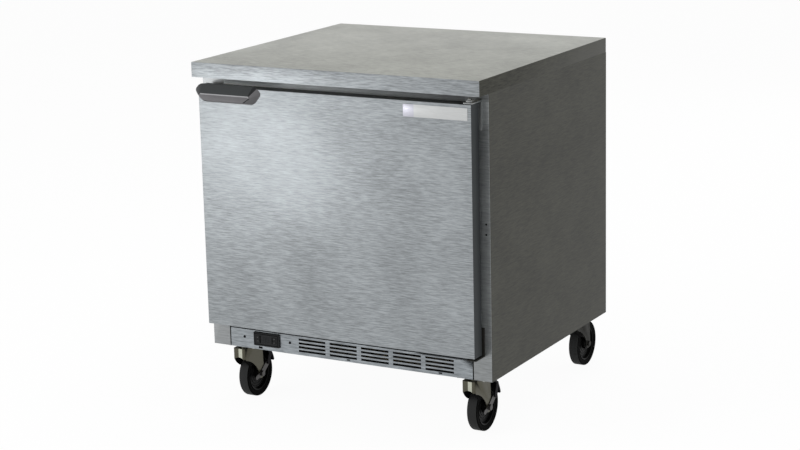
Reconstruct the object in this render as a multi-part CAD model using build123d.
from build123d import *
import math
import os

# Undercounter refrigerator on four swivel casters, with one side-hinged door.
# Millimetres. +Z is up, the door faces -Y, and the origin is on the floor at the centre of the whole.

# ---- driving dimensions: cabinet
cabinet_width = 812.8
worktop_depth = 743.0
cabinet_height = 751.0      # underside of the base pan to the top of the worktop
worktop_edge = 38.1         # height of the worktop's turned-down edge
worktop_return = 25.0       # flange turned in under the worktop
worktop_round = 2.0
face_setback = 50.0         # cabinet face behind the worktop's front edge
sheet = 1.0                 # shell sheet steel
pan_sheet = 1.5
pan_flange = 12.0
grille_sheet = 1.2
liner_sheet = 0.8
side_wall = 63.5            # insulated side wall, outside to inside
rear_wall = 55.0
header_height = 62.0        # worktop's underside to the top of the door opening
sill_height = 53.0          # bottom of the door opening to the insulated floor's underside
grille_height = 58.0        # front panel under the door opening
post_width = 50.4           # corner post beside the front panel
post_hole_radius = 2.0
post_hole_side = 11.6       # hole centre from the side
post_hole_drop = 356.0      # upper hole below the worktop's top
post_hole_pitch = 25.8
breaker_depth = 25.0
breaker_sheet = 2.5
hump_depth = 245.0          # raised floor over the machine compartment
hump_height = 120.0
hump_wall = 40.0
rear_flange = 18.0
cover_slot_rows = 7         # cooling slots in the rear cover
cover_slot_groups = 3
cover_slot_width = 180.0
cover_slot_height = 8.0
cover_slot_gap = 35.0
cover_slot_margin = 34.0    # cover's edge to the middle of the nearest row

# ---- driving dimensions: door
door_side = 21.3            # door's end from the cabinet's side
door_lift = 12.4            # door's bottom above the front panel
door_thickness = 40.0
door_drop = 19.9            # gap between the worktop's underside and the door's top
seal_gap = 12.7             # door's back to the cabinet's face
seal_clearance = 0.3
gasket_inset = 25.0
liner_border = 4.0          # gasket's inner edge to the door liner's raised middle
liner_frame = 30.0          # width of the raised frame round the dish
gasket_width = 16.0
gasket_lip = 3.0
door_liner_sheet = 3.0
door_liner_rise = 8.0       # raised border of the door liner's middle
hinge_inset = 14.1          # pin axis from the door's hinge edge
hinge_pin_radius = 4.0
hinge_pin_length = 16.0
hinge_leaf_width = 26.0
hinge_leaf_sheet = 3.0
hinge_leaf_height = 70.0
hinge_leaf_shift = 3.1        # leaf's middle beyond the pin, towards the side
hinge_leaf_front = 17.0       # leaf's front edge ahead of the pin
hinge_leaf_round = 5.0
hinge_screw_first = 22.0
hinge_screw_pitch = 30.0
skin_round = 1.5
bush_radius = 9.0
bush_flange = 0.7
lower_bush_flange = 3.6
bush_depth = 18.0
torsion_bar_radius = 2.5
torsion_bar_length = 220.0
pin_clearance = 0.05
seat_clearance = 0.3
plate_width = 173.0
plate_height = 30.5
plate_sheet = 1.0
plate_bevel = 0.3
plate_side = 9.0            # plate's end from the door's hinge edge
plate_drop = 8.0

# ---- driving dimensions: pull
handle_width = 196.0        # across the two shoulders, against the door
handle_top_width = 168.0
handle_low_width = 141.0
handle_height = 46.0
handle_shoulder = 15.5      # pull's top down to its shoulders
handle_overhang = 7.5       # shoulder beyond the door's free edge
handle_rise = 6.0           # pull's top above the door's top
handle_reach = 25.0         # front of the pull ahead of the worktop's edge
handle_nose_width = 148.0
handle_nose_low_width = 116.0
handle_nose_drop = 21.3     # pull's top down to the front edge
handle_nose_height = 19.0
handle_nose_slope = 5.0     # front's lower edge behind its upper edge
handle_wall = 3.0

# ---- driving dimensions: front panel
vent_groups = 5
vent_rows = 4
vent_bar = 12.5           # between two groups
vent_gap = 26.35          # right-hand controller screw to the first group
vent_end = 55.05          # last group to the panel's end
vent_slot = 5.0
vent_row_pitch = 10.0
vent_top = 18.0           # panel's top to the middle of the first row
drain_slot_width = 10.0
drain_slot_height = 3.5
drain_slot_reach = 263.0
controller_width = 78.0
controller_height = 36.5
controller_side = 164.4     # controller's middle from the cabinet's side
controller_drop = 29.0      # panel's top to the controller's middle
controller_frame = 3.5
controller_proud = 5.0
controller_depth = 60.0
controller_round = 2.5
controller_bevel = 1.2
display_depth = 2.0
key_gap = 3.0               # keys' column beside the display
key_row_gap = 3.0           # between the two keys of a column
display_width = 33.0
display_height = 22.0
key_width = 11.0
key_height = 7.0
key_travel = 0.6
key_proud = 0.8
key_depth = 2.5
key_clearance = 0.3
grille_screw_reach = 69.1   # grille screws either side of the controller
screw_radius = 2.0
screw_head_radius = 3.6
screw_head = 1.4

# ---- driving dimensions: casters
caster_height = 156.0
wheel_radius = 61.0
wheel_width = 27.0
tyre_thickness = 15.0
tyre_crown = 3.0            # drop of the tread's corners
core_inset = 1.5            # core's rim inside the tyre's side
web = 4.0                   # half the thickness of the core's web
hub_radius = 15.0
axle_radius = 5.0
axle_nut = 8.0
axle_nut_height = 4.8
caster_side = 70.4          # swivel axis from the cabinet's side
front_caster_inset = 47.0   # swivel axis behind the cabinet's face
rear_caster_inset = 36.4    # swivel axis ahead of the cabinet's back
trail = 36.5
caster_plate_width = 92.0
caster_plate_depth = 62.0
caster_plate_sheet = 3.0
caster_plate_corner = 8.0
race_radius = 24.0
race_height = 6.0
race_seat = 3.0             # fork's raised seat beyond the race
kingpin_radius = 6.0
kingpin_head = 6.0
kingpin_nut = 10.0
fork_width = 36.0
fork_sheet = 2.5
fork_front = 40.0
fork_rear = 44.0
fork_apron = 31.7
fork_arch = 8.0
fork_boss = 13.0
fork_round = 6.0
fork_touch = 150            # where the front sweep meets the axle boss, up from the rear
fork_sweep_y = 5.0          # front sweep's middle off its chord
fork_sweep_z = 8.0
brake_arm_sheet = 2.0
brake_gap = 4.0             # pedal's pad to the tread when released
brake_pad = 6.0
brake_pivot_y = 32.5        # pedal pivot behind and above the axle
brake_pivot_z = 25.0
brake_pin_radius = 3.0
brake_pad_turn = 48         # middle of the pad round the axle, up from the rear
brake_pad_spread = 28       # and each end from its middle
brake_arm_round = 8.0
brake_cheek_round = 8.5
brake_cheek_sheet = 2.5
brake_hook_y = 25.0         # arms' front end ahead of and below the axle
brake_hook_z = 6.0
brake_hook_round = 6.0

# ---- driving dimensions: inside
shelf_side_gap = 8.1        # liner to the shelf's end
shelf_depth = 430.0
shelf_front = 45.0          # shelf's front behind the cabinet's face
wire_radius = 2.0
rail_radius = 3.5
shelf_wires = 17
shelf_rails = 3
shelf_rail_inset = 6.0
shelf_wire_inset = 14.0
upper_shelf_height = 330.0  # above the storage floor
lower_shelf_height = 150.0
pilaster_width = 16.0
pilaster_inset = 60.0
pilaster_sheet = 5.0
pilaster_slot = 4.0
pilaster_slot_depth = 2.0
pilaster_pitch = 40.0
pilaster_low = 20.0         # above the raised floor
pilaster_high = 40.0        # below the opening's top
clip_reach = 12.0
clip_height = 8.0
clip_width = 12.0
clip_bevel = 4.0
evaporator_width = 480.0
evaporator_height = 170.0
evaporator_depth = 112.0
cover_vents = 5             # slots either side of the evaporator's fan
cover_vent_width = 110.0
cover_vent_height = 8.0
cover_vent_pitch = 24.0
guard_wire = 3.0
fan_radius = 56.0
fan_blades = 5
fan_hub_radius = 15.0
fan_tip_gap = 5.0
fan_face_gap = 4.0
fan_width = 16.0
blade_width = 24.0
blade_sheet = 1.6
blade_turn = 32
blade_root = 4.0            # blade's root sunk in the hub
coil_depth = 40.0
coil_bank = 4.0
coil_side = 30.0            # evaporator's coil short of its cover's ends, and above its floor
coil_lift = 6.0
shaft_radius = 3.0
motor_radius = 24.0
motor_length = 26.0
motor_gap = 2.0
shaft_stand = 3.0           # shaft's end past the fan's middle
strap_sheet = 3.0
strap_width = 18.0
strap_foot = 12.0
fin_pitch = 16.0
fin_sheet = 1.0
compressor_radius = 68.0
compressor_height = 150.0
condenser_height = 140.0
condenser_side = 75.4       # coil's end from the cabinet's side sheet
condenser_reach = 210.0     # coil's other end from the compressor's axis
condenser_gap = 8.0
shroud_depth = 28.0
compressor_side = 176.4     # compressor's axis from the cabinet's side
compressor_gap = 50.0
compressor_foot = 8.0
compressor_plate = 3.0
compressor_ear = 6.0        # foot plate beyond the pot, and its corner cut
pot_seam = 2.0              # how far the weld seam stands out
chase_reach = 130.0         # groove for the lines from the compressor's axis
chase_width = 36.0
chase_depth = 18.0
suction_radius = 5.0
liquid_radius = 3.2
line_step = 22.0
discharge_height = 78.0
suction_height = 60.0
drier_radius = 11.0
drier_length = 70.0
drier_lift = 16.0           # drier's ends from the runs below and above it
tray_width = 80.0
tray_depth = 98.0
tray_height = 26.0
tray_wall = 2.0
tray_gap = 30.0             # condensate pan beside the condenser
tray_back = 12.0            # and ahead of the cabinet's back
box_width = 62.0            # electrical box
box_depth = 110.0
box_height = 120.0
box_gap = 30.0

# ---- places that follow from the driving dimensions
half_width = cabinet_width / 2
wheel_overhang = trail + wheel_radius - rear_caster_inset
front_y = handle_reach - (handle_reach + worktop_depth + wheel_overhang) / 2
face_y = front_y + face_setback
back_y = front_y + worktop_depth
base_z = caster_height
top_z = base_z + cabinet_height
counter_z = top_z - worktop_edge
opening_top_z = counter_z - header_height
floor_z = base_z + grille_height + sill_height
grille_top_z = base_z + grille_height
opening_x = half_width - side_wall
liner_back_y = back_y - rear_wall
hump_y = liner_back_y - hump_depth
hump_z = floor_z + hump_height
machine_y = hump_y + hump_wall
machine_z = hump_z - hump_wall
door_top_z = counter_z - door_drop
door_bottom_z = grille_top_z + door_lift
door_back_y = face_y - seal_gap
door_front_y = door_back_y - door_thickness
door_x = half_width - door_side
hinge_x = door_x - hinge_inset
hinge_y = door_front_y + door_thickness / 2
upper_leaf_z = door_top_z + bush_flange + seat_clearance
lower_leaf_z = door_bottom_z - lower_bush_flange - seat_clearance
crown_z = base_z - caster_plate_sheet - race_height - seat_clearance
caster_x = half_width - caster_side
controller_x = controller_side - half_width
vent_left = controller_x + grille_screw_reach + vent_gap
vent_right = half_width - post_width - vent_end
vent_pitch = (vent_right - vent_left + vent_bar) / vent_groups
vent_width = vent_pitch - vent_bar
shelf_front_y = face_y + shelf_front
liner_x = opening_x - liner_sheet
pilaster_x = liner_x - pilaster_sheet
shelf_width = 2 * (liner_x - shelf_side_gap)
handle_x = handle_width / 2 - handle_overhang - door_x
pilaster_depths = (shelf_front_y + pilaster_inset, shelf_front_y + shelf_depth - pilaster_inset)
coil_back_y = liner_back_y - liner_sheet
evaporator_front_y = coil_back_y - evaporator_depth
evaporator_top_z = opening_top_z - liner_sheet
evaporator_low_z = evaporator_top_z - evaporator_height
fan_z = evaporator_top_z - evaporator_height / 2
port_z = fan_z
fan_hole = fan_radius + fan_tip_gap
evaporator_fan_y = evaporator_front_y + sheet + fan_face_gap + fan_width / 2
deck_z = base_z + pan_sheet
compressor_x = half_width - compressor_side
chase_x = compressor_x - chase_reach
condenser_x = (condenser_side + sheet - half_width, compressor_x - condenser_reach)
condenser_y = machine_y + condenser_gap
condenser_fan_x = (condenser_x[0] + condenser_x[1]) / 2
condenser_fan_z = deck_z + condenser_height / 2
shroud_y = (condenser_y + coil_depth, condenser_y + coil_depth + shroud_depth)
condenser_fan_y = shroud_y[1] - sheet - fan_face_gap - fan_width / 2
compressor_y = machine_y + compressor_radius + compressor_gap
caster_places = {
    "front_left": (-caster_x, face_y + front_caster_inset),
    "front_right": (caster_x, face_y + front_caster_inset),
    "rear_left": (-caster_x, back_y - rear_caster_inset),
    "rear_right": (caster_x, back_y - rear_caster_inset),
}


# ---- small helpers
def block(x, y, z):
    """A box between the low and high values of each axis."""
    size = (x[1] - x[0], y[1] - y[0], z[1] - z[0])
    return Pos((x[0] + x[1]) / 2, (y[0] + y[1]) / 2, (z[0] + z[1]) / 2) * Box(*size)


def rod(radius, start, end):
    """A round bar from one point to another."""
    run = Vector(*end) - Vector(*start)
    stand = Plane(origin=start, z_dir=run)
    return stand * Cylinder(radius, run.length, align=(Align.CENTER, Align.CENTER, Align.MIN))


def side_profile(points, x):
    """A slab between two x values whose outline is drawn in the YZ plane."""
    outline = Plane.YZ * make_face(Polyline(*points, close=True))
    return Pos(x[0], 0, 0) * extrude(outline, amount=x[1] - x[0], dir=(1, 0, 0))


def ring(outer_x, outer_z, width, y):
    """A rectangular frame in an XZ plane, given its outer low and high edges."""
    outer = block(outer_x, y, outer_z)
    inner_x = (outer_x[0] + width, outer_x[1] - width)
    inner_z = (outer_z[0] + width, outer_z[1] - width)
    return outer - block(inner_x, (y[0] - 1, y[1] + 1), inner_z)


def both_sides(shape):
    return [shape, mirror(shape, about=Plane.YZ)]


def save(node, *pieces):
    solids = [solid for piece in pieces for solid in piece.solids()]
    shape = solids[0] if len(solids) == 1 else Compound(solids)
    export_step(shape, f"parts/{node}.step")


# ---- cabinet
def worktop():
    slab = block((-half_width, half_width), (front_y, back_y), (counter_z, top_z))
    slab = fillet(slab.faces().sort_by(Axis.Z)[-1].edges(), worktop_round)
    return slab - worktop_filling()


def worktop_filling():
    inside = worktop_return + sheet
    upper = block(
        (sheet - half_width, half_width - sheet),
        (front_y + sheet, back_y - sheet),
        (counter_z + sheet, top_z - sheet),
    )
    lower = block(
        (inside - half_width, half_width - inside),
        (front_y + inside + face_setback, back_y - inside),
        (counter_z, counter_z + sheet),
    )
    return upper + lower


def side_panel():
    """Right-hand panel: one sheet with the corner post and a rear flange turned in."""
    height = (base_z, counter_z)
    skin = block((half_width - sheet, half_width), (face_y, back_y - sheet), height)
    post = block((opening_x, half_width), (face_y, face_y + sheet), height)
    notch = block(
        (opening_x - 1, half_width - post_width),
        (face_y - 1, face_y + 2 * sheet),
        (base_z - 1, grille_top_z),
    )
    rear = block((half_width - rear_flange, half_width), (back_y - 2 * sheet, back_y - sheet), height)
    panel = skin + (post - notch) + rear
    for step in range(2):
        z = top_z - post_hole_drop - step * post_hole_pitch
        x = half_width - post_hole_side
        panel -= rod(post_hole_radius, (x, face_y - 1, z), (x, face_y + sheet, z))
    return panel - [rod(screw_radius, (x, face_y - 1, z), (x, face_y + sheet, z)) for x, z in hinge_screw_places()]


def front_rails():
    header = block((-opening_x, opening_x), (face_y, face_y + sheet), (opening_top_z, counter_z))
    sill = block((-opening_x, opening_x), (face_y, face_y + sheet), (grille_top_z, floor_z))
    return header, sill


def back_panel():
    return block((-half_width, half_width), (back_y - sheet, back_y), (machine_z, counter_z))


def cavity_profile(front, inset):
    """Outline of the storage space in the YZ plane, drawn in by a wall's thickness."""
    return [
        (front, floor_z + inset),
        (hump_y - inset, floor_z + inset),
        (hump_y - inset, hump_z + inset),
        (liner_back_y - inset, hump_z + inset),
        (liner_back_y - inset, opening_top_z - inset),
        (front, opening_top_z - inset),
    ]


def foam_body():
    outside = half_width - sheet
    body = block((-outside, outside), (face_y + sheet, back_y - 2 * sheet), (grille_top_z, counter_z))
    inside = half_width - rear_flange
    body += block((-inside, inside), (back_y - 2 * sheet, back_y - sheet), (grille_top_z, counter_z))
    body -= side_profile(cavity_profile(face_y, 0), (-opening_x, opening_x))
    body -= block((-half_width, half_width), (machine_y, back_y), (grille_top_z - 1, machine_z))
    return body - line_chase()


def line_chase():
    """Groove in the back of the insulation, with a port to the evaporator."""
    x = (chase_x - chase_width / 2, chase_x + chase_width / 2)
    groove = block(x, (back_y - sheet - chase_depth, back_y - sheet), (machine_z - 1, port_z + chase_width / 2))
    return groove + line_port(back_y - sheet)


def line_port(end_y):
    """Square hole for the lines through the liner and the rear insulation."""
    half = chase_width / 2
    start_y = liner_back_y - liner_sheet - 1
    return block((chase_x - half, chase_x + half), (start_y, end_y), (port_z - half, port_z + half))


def inner_liner():
    start = face_y + breaker_depth
    skin = side_profile(cavity_profile(start, 0), (-opening_x, opening_x))
    inner_x = opening_x - liner_sheet
    skin -= side_profile(cavity_profile(start - 1, liner_sheet), (-inner_x, inner_x))
    return skin - line_port(back_y)


def breaker_strip():
    edge = (-opening_x, opening_x)
    return ring(edge, (floor_z, opening_top_z), breaker_sheet, (face_y, face_y + breaker_depth))


def base_pan():
    inside = half_width - sheet
    y = (face_y + 2 * grille_sheet, back_y - 2 * sheet)
    pan = block((-inside, inside), y, (base_z, base_z + pan_sheet))
    pan += block((-inside, inside), (y[0], y[0] + pan_sheet), (base_z, base_z + pan_flange))
    pan += block((-inside, inside), (y[1] - pan_sheet, y[1]), (base_z, base_z + pan_flange))
    return pan


# ---- front panel
def vent_places():
    first = vent_left + vent_width / 2
    for group in range(vent_groups):
        for row in range(vent_rows):
            yield first + group * vent_pitch, grille_top_z - vent_top - row * vent_row_pitch


def grille():
    edge = half_width - post_width
    through = (face_y - 1, face_y + grille_sheet + 1)
    panel = block((-edge, edge), (face_y, face_y + grille_sheet), (base_z, grille_top_z))
    slots = [
        block((x - vent_width / 2, x + vent_width / 2), through, (z - vent_slot / 2, z + vent_slot / 2))
        for x, z in vent_places()
    ]
    drains = [
        block(
            (x - drain_slot_width / 2, x + drain_slot_width / 2),
            through,
            (base_z + drain_slot_height, base_z + 2 * drain_slot_height),
        )
        for x in (-drain_slot_reach, 0, drain_slot_reach)
    ]
    z = grille_top_z - controller_drop
    reach = controller_width / 2 - controller_frame
    rise = controller_height / 2 - controller_frame
    window = block((controller_x - reach, controller_x + reach), through, (z - rise, z + rise))
    panel = panel - slots - drains - window
    panel -= [rod(screw_radius, (x, through[0], z), (x, through[1], z)) for x, z in grille_screw_places()]
    return panel


def grille_screw_places():
    z = grille_top_z - controller_drop
    return [(controller_x - grille_screw_reach, z), (controller_x + grille_screw_reach, z)]


def hinge_screw_places():
    """Two screws in each bracket's upright leaf."""
    x = hinge_x + hinge_leaf_shift
    for drop in (hinge_screw_first, hinge_screw_first + hinge_screw_pitch):
        yield x, upper_leaf_z - drop
        yield x, lower_leaf_z + drop


def screw(x, z, y, length):
    """A hexagon-head screw seated on a face at y, facing the front."""
    head = extrude(Plane(origin=(x, y, z), z_dir=(0, -1, 0)) * RegularPolygon(screw_head_radius, 6), screw_head)
    return head + rod(screw_radius, (x, y, z), (x, y + length, z))


def panel_screws():
    front = [screw(x, z, face_y, grille_sheet + pan_sheet) for x, z in grille_screw_places()]
    hinge = [screw(x, z, face_y - hinge_leaf_sheet, hinge_leaf_sheet + sheet) for x, z in hinge_screw_places()]
    return front + hinge


# ---- controller
def controller_case():
    x = (controller_x - controller_width / 2, controller_x + controller_width / 2)
    mid_z = grille_top_z - controller_drop
    z = (mid_z - controller_height / 2, mid_z + controller_height / 2)
    bezel = block(x, (face_y - controller_proud, face_y), z)
    bezel = fillet(bezel.edges().filter_by(Axis.Y), controller_round)
    bezel = chamfer(bezel.faces().sort_by(Axis.Y)[0].edges(), controller_bevel)
    body = block(
        (x[0] + controller_frame, x[1] - controller_frame),
        (face_y, face_y + controller_depth),
        (z[0] + controller_frame, z[1] - controller_frame),
    )
    case = bezel + body - display_block()
    for key_x, key_z in key_places().values():
        case -= key_block(key_x, key_z, key_clearance, key_travel + key_clearance)
    return case


def display_block():
    mid_z = grille_top_z - controller_drop
    return block(
        (controller_x - display_width / 2, controller_x + display_width / 2),
        (face_y - controller_proud, face_y - controller_proud + display_depth),
        (mid_z - display_height / 2, mid_z + display_height / 2),
    )


def key_places():
    mid_z = grille_top_z - controller_drop
    reach = (display_width + key_width) / 2 + key_gap
    rise = (key_height + key_row_gap) / 2
    return {
        "key_up": (controller_x - reach, mid_z + rise),
        "key_down": (controller_x - reach, mid_z - rise),
        "key_set": (controller_x + reach, mid_z + rise),
        "key_power": (controller_x + reach, mid_z - rise),
    }


def key_block(x, z, grow, deepen):
    """A key cap; grow widens it into its well and deepen lengthens the well."""
    front = face_y - controller_proud
    return block(
        (x - key_width / 2 - grow, x + key_width / 2 + grow),
        (front - (key_proud if grow == 0 else 1), front + key_depth + deepen),
        (z - key_height / 2 - grow, z + key_height / 2 + grow),
    )


# ---- door
def door_skin():
    outer = block((-door_x, door_x), (door_front_y, door_back_y - door_liner_sheet), (door_bottom_z, door_top_z))
    outer = fillet(outer.faces().sort_by(Axis.Y)[0].edges(), skin_round)
    return outer - door_filling() - hinge_bores()


def door_filling():
    return block(
        (sheet - door_x, door_x - sheet),
        (door_front_y + sheet, door_back_y - door_liner_sheet + 1),
        (door_bottom_z + sheet, door_top_z - sheet),
    )


def hinge_bores():
    """Holes for the hinge bushes in the door's top and bottom."""
    top = rod(bush_radius, (hinge_x, hinge_y, door_top_z - bush_depth), (hinge_x, hinge_y, door_top_z + 1))
    low = rod(bush_radius, (hinge_x, hinge_y, door_bottom_z - 1), (hinge_x, hinge_y, door_bottom_z + bush_depth))
    return top + low


def torsion_bore(grow):
    """The closing spring's bar stands on the lower bush; grow widens it into its bore in the foam."""
    start = door_bottom_z + bush_depth
    end = start + torsion_bar_length + grow
    return rod(torsion_bar_radius + grow, (hinge_x, hinge_y, start), (hinge_x, hinge_y, end))


def door_foam():
    foam = block(
        (sheet - door_x, door_x - sheet),
        (door_front_y + sheet, door_back_y - door_liner_sheet),
        (door_bottom_z + sheet, door_top_z - sheet),
    )
    return foam - hinge_bores() - torsion_bore(seat_clearance)


def door_liner():
    edge = (-door_x, door_x)
    height = (door_bottom_z, door_top_z)
    sheet_back = block(edge, (door_back_y - door_liner_sheet, door_back_y), height)
    inset = gasket_inset + gasket_width + liner_border
    raised = block(
        (edge[0] + inset, edge[1] - inset),
        (door_back_y, door_back_y + door_liner_rise),
        (height[0] + inset, height[1] - inset),
    )
    raised = chamfer(raised.faces().sort_by(Axis.Y)[-1].edges(), door_liner_rise / 2)
    inset += liner_frame
    dish = block(
        (edge[0] + inset, edge[1] - inset),
        (door_back_y + 1, door_back_y + door_liner_rise + 1),
        (height[0] + inset, height[1] - inset),
    )
    return sheet_back + raised - dish


def door_gasket():
    edge = (-door_x + gasket_inset, door_x - gasket_inset)
    height = (door_bottom_z + gasket_inset, door_top_z - gasket_inset)
    seal = ring(edge, height, gasket_width, (door_back_y, face_y - seal_clearance))
    lip = seal.faces().sort_by(Axis.Y)[-1].edges()
    return chamfer(lip, gasket_lip)


def pull_section(y, slope, top, widths, drops):
    """Six-sided outline of the pull; slope sets its lower edge back, drops place its shoulders and its foot."""
    half_top, half_wide, half_low = (width / 2 for width in widths)
    corners = [
        (half_top, 0), (half_wide, drops[0]), (half_low, drops[1]),
        (-half_low, drops[1]), (-half_wide, drops[0]), (-half_top, 0),
    ]
    points = [(handle_x + x, y + slope * drop / drops[1], top - drop) for x, drop in corners]
    return Face(Wire([Edge.make_line(a, b) for a, b in zip(points, points[1:] + points[:1])]))


def pull_hood(inset, deepen):
    """The pull's outline against the door lofted to its smaller front; deepen carries its foot down."""
    top = door_top_z + handle_rise
    rear = pull_section(
        door_front_y, 0, top - inset,
        (handle_top_width - 2 * inset, handle_width - 2 * inset, handle_low_width - 2 * inset),
        (handle_shoulder, handle_height + deepen),
    )
    nose_width = handle_nose_width - 2 * inset
    nose = pull_section(
        front_y - handle_reach + inset, handle_nose_slope, top - handle_nose_drop - inset,
        (nose_width - handle_nose_slope, nose_width, handle_nose_low_width - 2 * inset),
        (handle_nose_slope / 2, handle_nose_height + deepen),
    )
    return loft([rear, nose], ruled=True)


def handle():
    """Hooded pull on the door's free top corner, open below for the fingers."""
    outer = pull_hood(0, 0)
    keep = block(
        (handle_x - handle_width, handle_x + handle_width),
        (front_y - handle_reach, door_front_y - handle_wall),
        (door_bottom_z, door_top_z + handle_rise),
    )
    return outer - (pull_hood(handle_wall, handle_height) & keep)


def door_plate():
    x = (door_x - plate_side - plate_width, door_x - plate_side)
    z = (door_top_z - plate_drop - plate_height, door_top_z - plate_drop)
    plate = block(x, (door_front_y - plate_sheet, door_front_y), z)
    return chamfer(plate.faces().sort_by(Axis.Y)[0].edges(), plate_bevel)


def hinge_bushes():
    bore = hinge_pin_radius + pin_clearance
    top = rod(bush_radius, (hinge_x, hinge_y, door_top_z - bush_depth), (hinge_x, hinge_y, door_top_z + bush_flange))
    top -= rod(bore, (hinge_x, hinge_y, door_top_z - hinge_pin_length - 1), (hinge_x, hinge_y, door_top_z + 2))
    low_z = door_bottom_z - lower_bush_flange
    low = rod(bush_radius, (hinge_x, hinge_y, low_z), (hinge_x, hinge_y, door_bottom_z + bush_depth))
    low -= rod(bore, (hinge_x, hinge_y, low_z - 1), (hinge_x, hinge_y, door_bottom_z + bush_depth + 1))
    return top, low


def hinge_brackets():
    """Each bracket is an L-shaped leaf with a fixed pin that stands into the door's bush."""
    middle = hinge_x + hinge_leaf_shift
    x = (middle - hinge_leaf_width / 2, middle + hinge_leaf_width / 2)
    brackets = []
    for level, way, bush in ((upper_leaf_z, 1, bush_flange), (lower_leaf_z, -1, lower_bush_flange)):
        outside = level + way * hinge_leaf_sheet
        tip = level - way * hinge_leaf_height
        leaf = block(x, (hinge_y - hinge_leaf_front, face_y), sorted((level, outside)))
        leaf = fillet(leaf.edges().filter_by(Axis.Z).group_by(Axis.Y)[0], hinge_leaf_round)
        leaf += block(x, (face_y - hinge_leaf_sheet, face_y), sorted((outside, tip)))
        pin_end = level - way * (hinge_pin_length + bush)
        leaf += rod(hinge_pin_radius, (hinge_x, hinge_y, level), (hinge_x, hinge_y, pin_end))
        for screw_x, z in hinge_screw_places():
            leaf -= rod(screw_radius, (screw_x, face_y - hinge_leaf_sheet, z), (screw_x, face_y, z))
        brackets.append(leaf)
    return brackets


# ---- casters: drawn about the swivel axis, rolling along Y, with the wheel behind it
def caster_plates():
    plates = []
    for x, y in caster_places.values():
        plate = block(
            (x - caster_plate_width / 2, x + caster_plate_width / 2),
            (y - caster_plate_depth / 2, y + caster_plate_depth / 2),
            (base_z - caster_plate_sheet, base_z),
        )
        plate = chamfer(plate.edges().filter_by(Axis.Z), caster_plate_corner)
        low = crown_z + seat_clearance
        plate += rod(race_radius, (x, y, low), (x, y, base_z - caster_plate_sheet))
        head_z = crown_z - fork_sheet - seat_clearance
        plate += rod(kingpin_radius, (x, y, head_z), (x, y, low))
        hexagon = extrude(Plane((x, y, head_z - kingpin_head)) * RegularPolygon(kingpin_nut, 6), kingpin_head)
        plates.append(plate + hexagon)
    return plates


def fork():
    """Pressed horn: crown, front apron and two legs that sweep down to the axle."""
    front_z = crown_z - fork_apron
    axle = (trail, wheel_radius)
    rear_touch = (axle[0] + fork_boss, axle[1])
    under = (axle[0], axle[1] - fork_boss)
    angle = math.radians(fork_touch)
    front_touch = (axle[0] + fork_boss * math.cos(angle), axle[1] + fork_boss * math.sin(angle))
    middle = ((front_touch[0] - fork_front) / 2 + fork_sweep_y, (front_touch[1] + front_z) / 2 + fork_sweep_z)
    outline = [
        Edge.make_line((-fork_front, crown_z), (fork_rear, crown_z)),
        Edge.make_line((fork_rear, crown_z), rear_touch),
        Edge.make_three_point_arc(Vector(*rear_touch), Vector(*under), Vector(*front_touch)),
        Edge.make_three_point_arc(Vector(*front_touch), Vector(*middle), Vector(-fork_front, front_z)),
        Edge.make_line((-fork_front, front_z), (-fork_front, crown_z)),
    ]
    leg = Plane.YZ * Face(Wire(outline))
    body = Pos(-fork_width / 2, 0, 0) * extrude(leg, amount=fork_width, dir=(1, 0, 0))
    body = fillet(body.edges().filter_by(Axis.Z).group_by(Axis.Y)[0], fork_round)
    inner = fork_width / 2 - fork_sheet
    hollow = block((-inner, inner), (fork_sheet - fork_front, trail + fork_boss + 1), (0, crown_z - fork_sheet))
    hollow = fillet(hollow.edges().filter_by(Axis.Z).group_by(Axis.Y)[0], fork_round - fork_sheet)
    radius = (inner**2 + fork_arch**2) / (2 * fork_arch)
    arch_z = front_z + fork_arch - radius
    arch = rod(radius, (0, -fork_front - 1, arch_z), (0, fork_sheet - fork_front + 6, arch_z))
    body += rod(race_radius + race_seat, (0, 0, crown_z - fork_sheet), (0, 0, crown_z))
    body -= hollow
    body -= arch & block((-inner, inner), (-fork_front - 1, 0), (0, crown_z))
    body -= rod(kingpin_radius + pin_clearance, (0, 0, crown_z - 2 * fork_sheet), (0, 0, crown_z + 1))
    side = fork_width / 2 + 1
    return body - rod(axle_radius + pin_clearance, (-side, trail, wheel_radius), (side, trail, wheel_radius))


def axle(outer):
    """Axle bolt with a hexagon head and a nut against what it clamps at +-outer."""
    bar = rod(axle_radius, (-outer, trail, wheel_radius), (outer, trail, wheel_radius))
    for way in (-1, 1):
        seat = Plane(origin=(way * outer, trail, wheel_radius), z_dir=(way, 0, 0))
        bar += extrude(seat * RegularPolygon(axle_nut, 6), axle_nut_height)
    return bar


def brake_arms():
    """Side arms under the axle's head and nut that carry the pedal's pivot."""
    hook = (trail - brake_hook_y, wheel_radius - brake_hook_z)
    hub = (trail, wheel_radius)
    pivot = (trail + brake_pivot_y, wheel_radius + brake_pivot_z)
    outline = link(hook, hub, brake_hook_round) + link(hub, pivot, brake_arm_round)
    arms = []
    for side in (fork_width / 2, -fork_width / 2 - brake_arm_sheet):
        arm = Pos(side, 0, 0) * extrude(Plane.YZ * outline, brake_arm_sheet, (1, 0, 0))
        ends = (side - 1, side + brake_arm_sheet + 1)
        arm -= rod(axle_radius + pin_clearance, (ends[0], *hub), (ends[1], *hub))
        arm -= rod(brake_pin_radius + pin_clearance, (ends[0], *pivot), (ends[1], *pivot))
        arms.append(arm)
    return arms


def link(start, end, radius):
    """A flat strip with round ends between two points of a sketch."""
    run = Vector(*end) - Vector(*start)
    middle = (Vector(*start) + Vector(*end)) * 0.5
    turn = math.degrees(math.atan2(run.Y, run.X))
    return Pos(middle.X, middle.Y) * Rot(0, 0, turn) * SlotCenterToCenter(run.length, 2 * radius)


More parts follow.
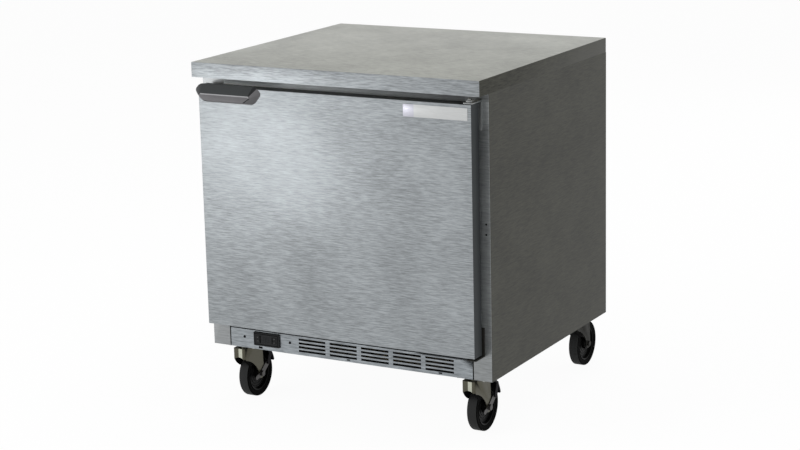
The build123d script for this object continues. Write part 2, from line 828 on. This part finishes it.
def brake_pedal():
    """Pad over the tread, two cheeks outside the arms and a pivot pin in each."""
    axle_at = Vector(0, trail, wheel_radius)
    inner = wheel_radius + brake_gap
    outer = inner + brake_pad
    cheek = fork_width / 2 + brake_arm_sheet + seat_clearance
    wide = cheek + brake_cheek_sheet
    band = rod(outer, (-wide, axle_at.Y, axle_at.Z), (wide, axle_at.Y, axle_at.Z))
    band -= rod(inner, (-wide - 1, axle_at.Y, axle_at.Z), (wide + 1, axle_at.Y, axle_at.Z))
    sector = [(axle_at.Y, axle_at.Z)]
    for step in (-1, 0, 1):
        reach = outer * 1.3
        turn = math.radians(brake_pad_turn + step * brake_pad_spread)
        sector.append((axle_at.Y + reach * math.cos(turn), axle_at.Z + reach * math.sin(turn)))
    pad = band & side_profile(sector, (-wide, wide))
    pivot = (trail + brake_pivot_y, wheel_radius + brake_pivot_z)
    turn = math.radians(brake_pad_turn)
    root = (axle_at.Y + inner * math.cos(turn), axle_at.Z + inner * math.sin(turn))
    pedal = pad
    for low, high in ((cheek, wide), (-wide, -cheek)):
        side = extrude(Plane.YZ * link(pivot, root, brake_cheek_round), high - low, (1, 0, 0))
        pedal += Pos(low, 0, 0) * side
    for way in (-1, 1):
        pedal += rod(brake_pin_radius, (way * fork_width / 2, *pivot), (way * wide, *pivot))
    return pedal


def tyre():
    rim = wheel_radius - tyre_thickness
    half = wheel_width / 2
    crown = half * 0.6
    outline = [(-half, rim), (half, rim), (half, wheel_radius - tyre_crown), (crown, wheel_radius),
               (-crown, wheel_radius), (-half, wheel_radius - tyre_crown)]
    return Pos(0, trail, wheel_radius) * revolve(make_face(Polyline(*outline, close=True)), Axis.X)


def wheel_core():
    rim = wheel_radius - tyre_thickness
    hub = fork_width / 2 - fork_sheet - seat_clearance
    half = wheel_width / 2 - core_inset
    bore = axle_radius + pin_clearance
    outline = [
        (-hub, bore), (hub, bore), (hub, hub_radius), (web, hub_radius), (web, rim - web), (half, rim - web),
        (half, rim), (-half, rim), (-half, rim - web), (-web, rim - web), (-web, hub_radius), (-hub, hub_radius),
    ]
    return Pos(0, trail, wheel_radius) * revolve(make_face(Polyline(*outline, close=True)), Axis.X)


# ---- inside
def pilasters():
    low, high = hump_z + pilaster_low, opening_top_z - pilaster_high
    strips = []
    for y in pilaster_depths:
        strip = block((pilaster_x, liner_x), (y - pilaster_width / 2, y + pilaster_width / 2), (low, high))
        width = (y - pilaster_width / 4, y + pilaster_width / 4)
        heights = [low + pilaster_pitch * (step + 0.5) for step in range(int((high - low) // pilaster_pitch))]
        slots = [
            block((pilaster_x - 1, pilaster_x + pilaster_slot_depth), width, (z, z + pilaster_slot))
            for z in heights
        ]
        strips += both_sides(strip - slots)
    return strips


def shelf_heights():
    return {"shelf_upper": floor_z + upper_shelf_height, "shelf_lower": floor_z + lower_shelf_height}


def shelf_clips():
    clips = []
    for z in shelf_heights().values():
        for y in pilaster_depths:
            width = (y - clip_width / 2, y + clip_width / 2)
            arm = block((pilaster_x - clip_reach, pilaster_x), width, (z - clip_height, z))
            arm = chamfer(arm.edges().filter_by(Axis.Y).group_by(Axis.Z)[0].sort_by(Axis.X)[0], clip_bevel)
            clips += both_sides(arm)
    return clips


def wire(radius, start, end):
    """A straight wire, drawn six-sided."""
    run = Vector(*end) - Vector(*start)
    return extrude(Plane(origin=start, z_dir=run) * RegularPolygon(radius, 6), run.length)


def shelf(z):
    """Wire shelf whose side rails rest on the clips; the wires lie across the rails."""
    x = shelf_width / 2
    y = (shelf_front_y, shelf_front_y + shelf_depth)
    rail_z = z + rail_radius
    wire_z = rail_z + rail_radius + wire_radius
    inner = x - 2 * rail_radius
    sides = (rail_radius - x, x - rail_radius)
    rails = [wire(rail_radius, (side, y[0], rail_z), (side, y[1], rail_z)) for side in sides]
    first = y[0] + rail_radius + shelf_rail_inset
    rail_pitch = (y[1] - rail_radius - shelf_rail_inset - first) / (shelf_rails - 1)
    bars = [
        wire(rail_radius, (-inner, first + step * rail_pitch, rail_z), (inner, first + step * rail_pitch, rail_z))
        for step in range(shelf_rails)
    ]
    reach = x - shelf_wire_inset
    places = [2 * reach * step / (shelf_wires - 1) - reach for step in range(shelf_wires)]
    return rails + bars + [wire(wire_radius, (at, y[0], wire_z), (at, y[1], wire_z)) for at in places]


def evaporator_cover():
    x = evaporator_width / 2
    through = (evaporator_front_y - 1, evaporator_front_y + sheet + 1)
    outer = block((-x, x), (evaporator_front_y, coil_back_y), (evaporator_low_z, evaporator_top_z))
    inner = block(
        (sheet - x, x - sheet),
        (evaporator_front_y + sheet, coil_back_y + 1),
        (evaporator_low_z + sheet, evaporator_top_z - sheet),
    )
    cover = outer - inner - rod(fan_hole, (0, through[0], fan_z), (0, through[1], fan_z))
    vents = []
    for at in (-(x + fan_hole) / 2, (x + fan_hole) / 2):
        for step in range(cover_vents):
            z = fan_z + (step - (cover_vents - 1) / 2) * cover_vent_pitch
            across = (at - cover_vent_width / 2, at + cover_vent_width / 2)
            vents.append(block(across, through, (z - cover_vent_height / 2, z + cover_vent_height / 2)))
    spokes = [
        Pos(0, evaporator_front_y + sheet / 2, fan_z) * Rot(0, turn, 0) * Box(2 * fan_hole + 2, sheet, guard_wire)
        for turn in range(0, 180, 30)
    ]
    return cover - vents + spokes


def finned_coil(x, y, z):
    """Plate fins standing off a flat tube bank."""
    count = int((x[1] - x[0]) // fin_pitch)
    middle_y = (y[0] + y[1]) / 2
    bank = (z[1] - z[0]) * 0.1
    coil = block(x, (middle_y - coil_bank, middle_y + coil_bank), (z[0] + bank, z[1] - bank))
    for step in range(count + 1):
        at = x[0] + (x[1] - x[0] - fin_sheet) * step / count
        coil += block((at, at + fin_sheet), y, z)
    return coil


def evaporator_coil():
    reach = evaporator_width / 2 - coil_side
    back = liner_back_y - liner_sheet
    height = (evaporator_low_z + sheet + coil_lift, evaporator_top_z - sheet)
    return finned_coil((-reach, reach), (back - coil_depth, back), height)


def fan():
    """Axial fan drawn about the origin with its shaft along Y."""
    whole = rod(fan_hub_radius, (0, -fan_width / 2, 0), (0, fan_width / 2, 0))
    length = fan_radius - fan_hub_radius + blade_root
    for step in range(fan_blades):
        blade = Pos(0, 0, fan_radius - length / 2) * Rot(0, 0, blade_turn) * Box(blade_width, blade_sheet, length)
        whole += Rot(0, step * 360 / fan_blades, 0) * blade
    return whole - rod(shaft_radius + pin_clearance, (0, -shaft_stand - 1, 0), (0, fan_width, 0))


def fan_motor(motor_y, arm_reach, strap_y):
    """Shaded-pole motor on a cross strap behind its fan; the shaft end stands in the fan's hub."""
    body = rod(motor_radius, (0, motor_y, 0), (0, motor_y + motor_length, 0))
    body = chamfer(body.edges().filter_by(GeomType.CIRCLE), 2)
    strap = block((-arm_reach, arm_reach), strap_y, (-strap_width / 2, strap_width / 2))
    return body + rod(shaft_radius, (0, -shaft_stand, 0), (0, motor_y, 0)) + strap


def evaporator_motor():
    motor_y = fan_width / 2 + motor_gap
    strap = (motor_y + motor_length - strap_sheet, motor_y + motor_length)
    motor = fan_motor(motor_y, evaporator_width / 2 - sheet, strap)
    return Pos(0, evaporator_fan_y, fan_z) * motor


# ---- machine compartment, on the base pan
def condenser_coil():
    return finned_coil(condenser_x, (condenser_y, condenser_y + coil_depth), (deck_z, deck_z + condenser_height))


def condenser_shroud():
    """Sheet box behind the coil that gathers its air to the fan, with the motor's strap across its mouth."""
    z = (deck_z, deck_z + condenser_height)
    box = block(condenser_x, shroud_y, z)
    box -= block(
        (condenser_x[0] + sheet, condenser_x[1] - sheet),
        (shroud_y[0] - 1, shroud_y[1] - sheet),
        (z[0] + sheet, z[1] - sheet),
    )
    ends = [(condenser_fan_x, y, condenser_fan_z) for y in (shroud_y[0], shroud_y[1] + 1)]
    return box - rod(fan_hole, *ends)


def condenser_motor():
    """Motor on a strap whose feet stand on the shroud's mouth."""
    motor_y = fan_width / 2 + motor_gap + fan_face_gap
    mouth_y = shroud_y[1] - condenser_fan_y
    strap = (motor_y + motor_length - strap_sheet, motor_y + motor_length)
    reach = fan_hole + strap_foot
    motor = fan_motor(motor_y, reach, strap)
    for foot in ((-reach, -fan_hole - 2), (fan_hole + 2, reach)):
        motor += block(foot, (mouth_y, strap[0]), (-strap_width / 2, strap_width / 2))
    return Pos(condenser_fan_x, condenser_fan_y, condenser_fan_z) * motor


def compressor():
    """Welded steel pot with a seam bead, on a foot plate with four rubber feet."""
    low = compressor_foot + compressor_plate
    wall = compressor_radius - pot_seam
    seam_z = compressor_height * 0.6
    outline = [
        (0, low), (wall * 0.85, low), (wall, low + wall * 0.15), (wall, seam_z), (compressor_radius, seam_z),
        (compressor_radius, seam_z + pot_seam), (wall, seam_z + pot_seam), (wall * 0.87, compressor_height * 0.86),
        (wall * 0.5, compressor_height * 0.97), (0, compressor_height),
    ]
    pot = revolve(Plane.XZ * make_face(Polyline(*outline, close=True)), Axis.Z)
    reach = (compressor_radius + compressor_ear, compressor_radius * 0.7)
    plate = block((-reach[0], reach[0]), (-reach[1], reach[1]), (compressor_foot, low))
    plate = chamfer(plate.edges().filter_by(Axis.Z), compressor_ear)
    place = Pos(compressor_x, compressor_y, deck_z)
    pieces = [place * (pot + plate)]
    foot = (compressor_ear, reach[0] / 4)
    for x in ((-reach[0] + foot[0], -reach[0] + foot[1]), (reach[0] - foot[1], reach[0] - foot[0])):
        for y in ((-reach[1] + foot[0], -reach[1] + foot[1]), (reach[1] - foot[1], reach[1] - foot[0])):
            pieces.append(place * block(x, y, (0, compressor_foot)))
    return pieces


def tube(radius, *points):
    """Pipe drawn as straight eight-sided runs, each carried on to its corner's far side."""
    pieces = []
    last = len(points) - 2
    for step, (start, end) in enumerate(zip(points, points[1:])):
        way = (Vector(*end) - Vector(*start)).normalized()
        begin = Vector(*start) - way * (radius if step > 0 else 0)
        finish = Vector(*end) + way * (radius if step < last else 0)
        run = extrude(Plane(origin=begin, z_dir=way) * RegularPolygon(radius, 8), (finish - begin).length)
        pieces.append(run)
    return pieces[0] + pieces[1:] if len(pieces) > 1 else pieces[0]


def refrigerant_lines():
    """Discharge, liquid and suction lines, with the filter drier in the liquid line."""
    coil_x = condenser_x[1]
    coil_y = condenser_y + coil_depth / 2
    pot_x = compressor_x - compressor_radius + pot_seam
    chase_y = back_y - sheet - chase_depth / 2
    side = chase_width / 4
    discharge = tube(
        liquid_radius,
        (pot_x, compressor_y, deck_z + discharge_height),
        (coil_x + line_step, compressor_y, deck_z + discharge_height),
        (coil_x + line_step, coil_y, deck_z + discharge_height),
        (coil_x, coil_y, deck_z + discharge_height),
    )
    drier_x = coil_x + 2 * line_step
    low_z = deck_z + line_step
    drier_z = (low_z + drier_lift, low_z + drier_lift + drier_length)
    drier = wire(drier_radius, (drier_x, coil_y, drier_z[0]), (drier_x, coil_y, drier_z[1]))
    feed = tube(liquid_radius, (coil_x, coil_y, low_z), (drier_x, coil_y, low_z), (drier_x, coil_y, drier_z[0]))
    liquid_z = drier_z[1] + drier_lift
    liquid = tube(
        liquid_radius,
        (drier_x, coil_y, drier_z[1]),
        (drier_x, coil_y, liquid_z),
        (drier_x, chase_y, liquid_z),
        (chase_x - side, chase_y, liquid_z),
        (chase_x - side, chase_y, port_z),
        (chase_x - side, coil_back_y, port_z),
    )
    suction_z = deck_z + suction_height
    suction = tube(
        suction_radius,
        (pot_x, compressor_y, suction_z),
        (chase_x + side, compressor_y, suction_z),
        (chase_x + side, chase_y, suction_z),
        (chase_x + side, chase_y, port_z),
        (chase_x + side, coil_back_y, port_z),
    )
    return discharge, drier, feed, liquid, suction


def condensate_pan():
    x = (condenser_x[1] + tray_gap, condenser_x[1] + tray_gap + tray_width)
    y = (back_y - tray_back - tray_depth, back_y - tray_back)
    outer = block(x, y, (deck_z, deck_z + tray_height))
    inner = block(
        (x[0] + tray_wall, x[1] - tray_wall),
        (y[0] + tray_wall, y[1] - tray_wall),
        (deck_z + tray_wall, deck_z + tray_height + 1),
    )
    return outer - inner


def electrical_box():
    x = (half_width - sheet - box_width, half_width - sheet)
    y = (machine_y + box_gap, machine_y + box_gap + box_depth)
    return block(x, y, (deck_z, deck_z + box_height))


def rear_cover():
    z = (base_z, machine_z)
    cover = block((-half_width, half_width), (back_y - sheet, back_y), z)
    through = (back_y - sheet - 1, back_y + 1)
    row_pitch = (z[1] - z[0] - 2 * cover_slot_margin) / (cover_slot_rows - 1)
    group_pitch = cover_slot_width + cover_slot_gap
    for group in range(cover_slot_groups):
        x = (group - (cover_slot_groups - 1) / 2) * group_pitch
        for row in range(cover_slot_rows):
            at = z[0] + cover_slot_margin + row * row_pitch
            across = (x - cover_slot_width / 2, x + cover_slot_width / 2)
            cover -= block(across, through, (at - cover_slot_height / 2, at + cover_slot_height / 2))
    return cover


# ---- write every node
os.makedirs("parts", exist_ok=True)
right_panel = side_panel()
save("worktop", worktop())
save("worktop_core", worktop_filling())
save("side_panel_right", right_panel)
save("side_panel_left", mirror(right_panel, about=Plane.YZ))
save("front_rails", *front_rails())
save("back_panel", back_panel())
save("foam_body", foam_body())
save("inner_liner", inner_liner())
save("breaker_strip", breaker_strip())
save("base_pan", base_pan())
save("grille", grille())
save("panel_screws", *panel_screws())
save("controller_case", controller_case())
save("controller_display", display_block())
for name, (key_x, key_z) in key_places().items():
    save(name, key_block(key_x, key_z, 0, 0))
save("door_skin", door_skin())
save("door_foam", door_foam())
save("door_liner", door_liner())
save("door_gasket", door_gasket())
save("door_handle", handle())
save("door_plate", door_plate())
save("hinge_bushes", *hinge_bushes())
save("closer_torsion_bar", torsion_bore(0))
save("hinge_brackets", *hinge_brackets())
save("caster_plates", *caster_plates())
for name, (x, y) in caster_places.items():
    place = Pos(x, y, 0)
    braked = name.startswith("front")
    pieces = [fork(), axle(fork_width / 2 + (brake_arm_sheet if braked else 0))]
    if braked:
        pieces += brake_arms()
        save(f"brake_pedal_{name}", place * brake_pedal())
    save(f"caster_fork_{name}", *[place * piece for piece in pieces])
    save(f"caster_tyre_{name}", place * tyre())
    save(f"caster_core_{name}", place * wheel_core())
save("pilasters", *pilasters())
save("shelf_clips", *shelf_clips())
for name, z in shelf_heights().items():
    save(name, *shelf(z))
save("evaporator_cover", evaporator_cover())
save("evaporator_coil", evaporator_coil())
save("evaporator_motor", evaporator_motor())
save("evaporator_fan", Pos(0, evaporator_fan_y, fan_z) * fan())
save("condenser_coil", condenser_coil())
save("condenser_shroud", condenser_shroud())
save("condenser_motor", condenser_motor())
save("condenser_fan", Pos(condenser_fan_x, condenser_fan_y, condenser_fan_z) * fan())
save("compressor", *compressor())
save("refrigerant_lines", *refrigerant_lines())
save("condensate_pan", condensate_pan())
save("electrical_box", electrical_box())
save("rear_cover", rear_cover())
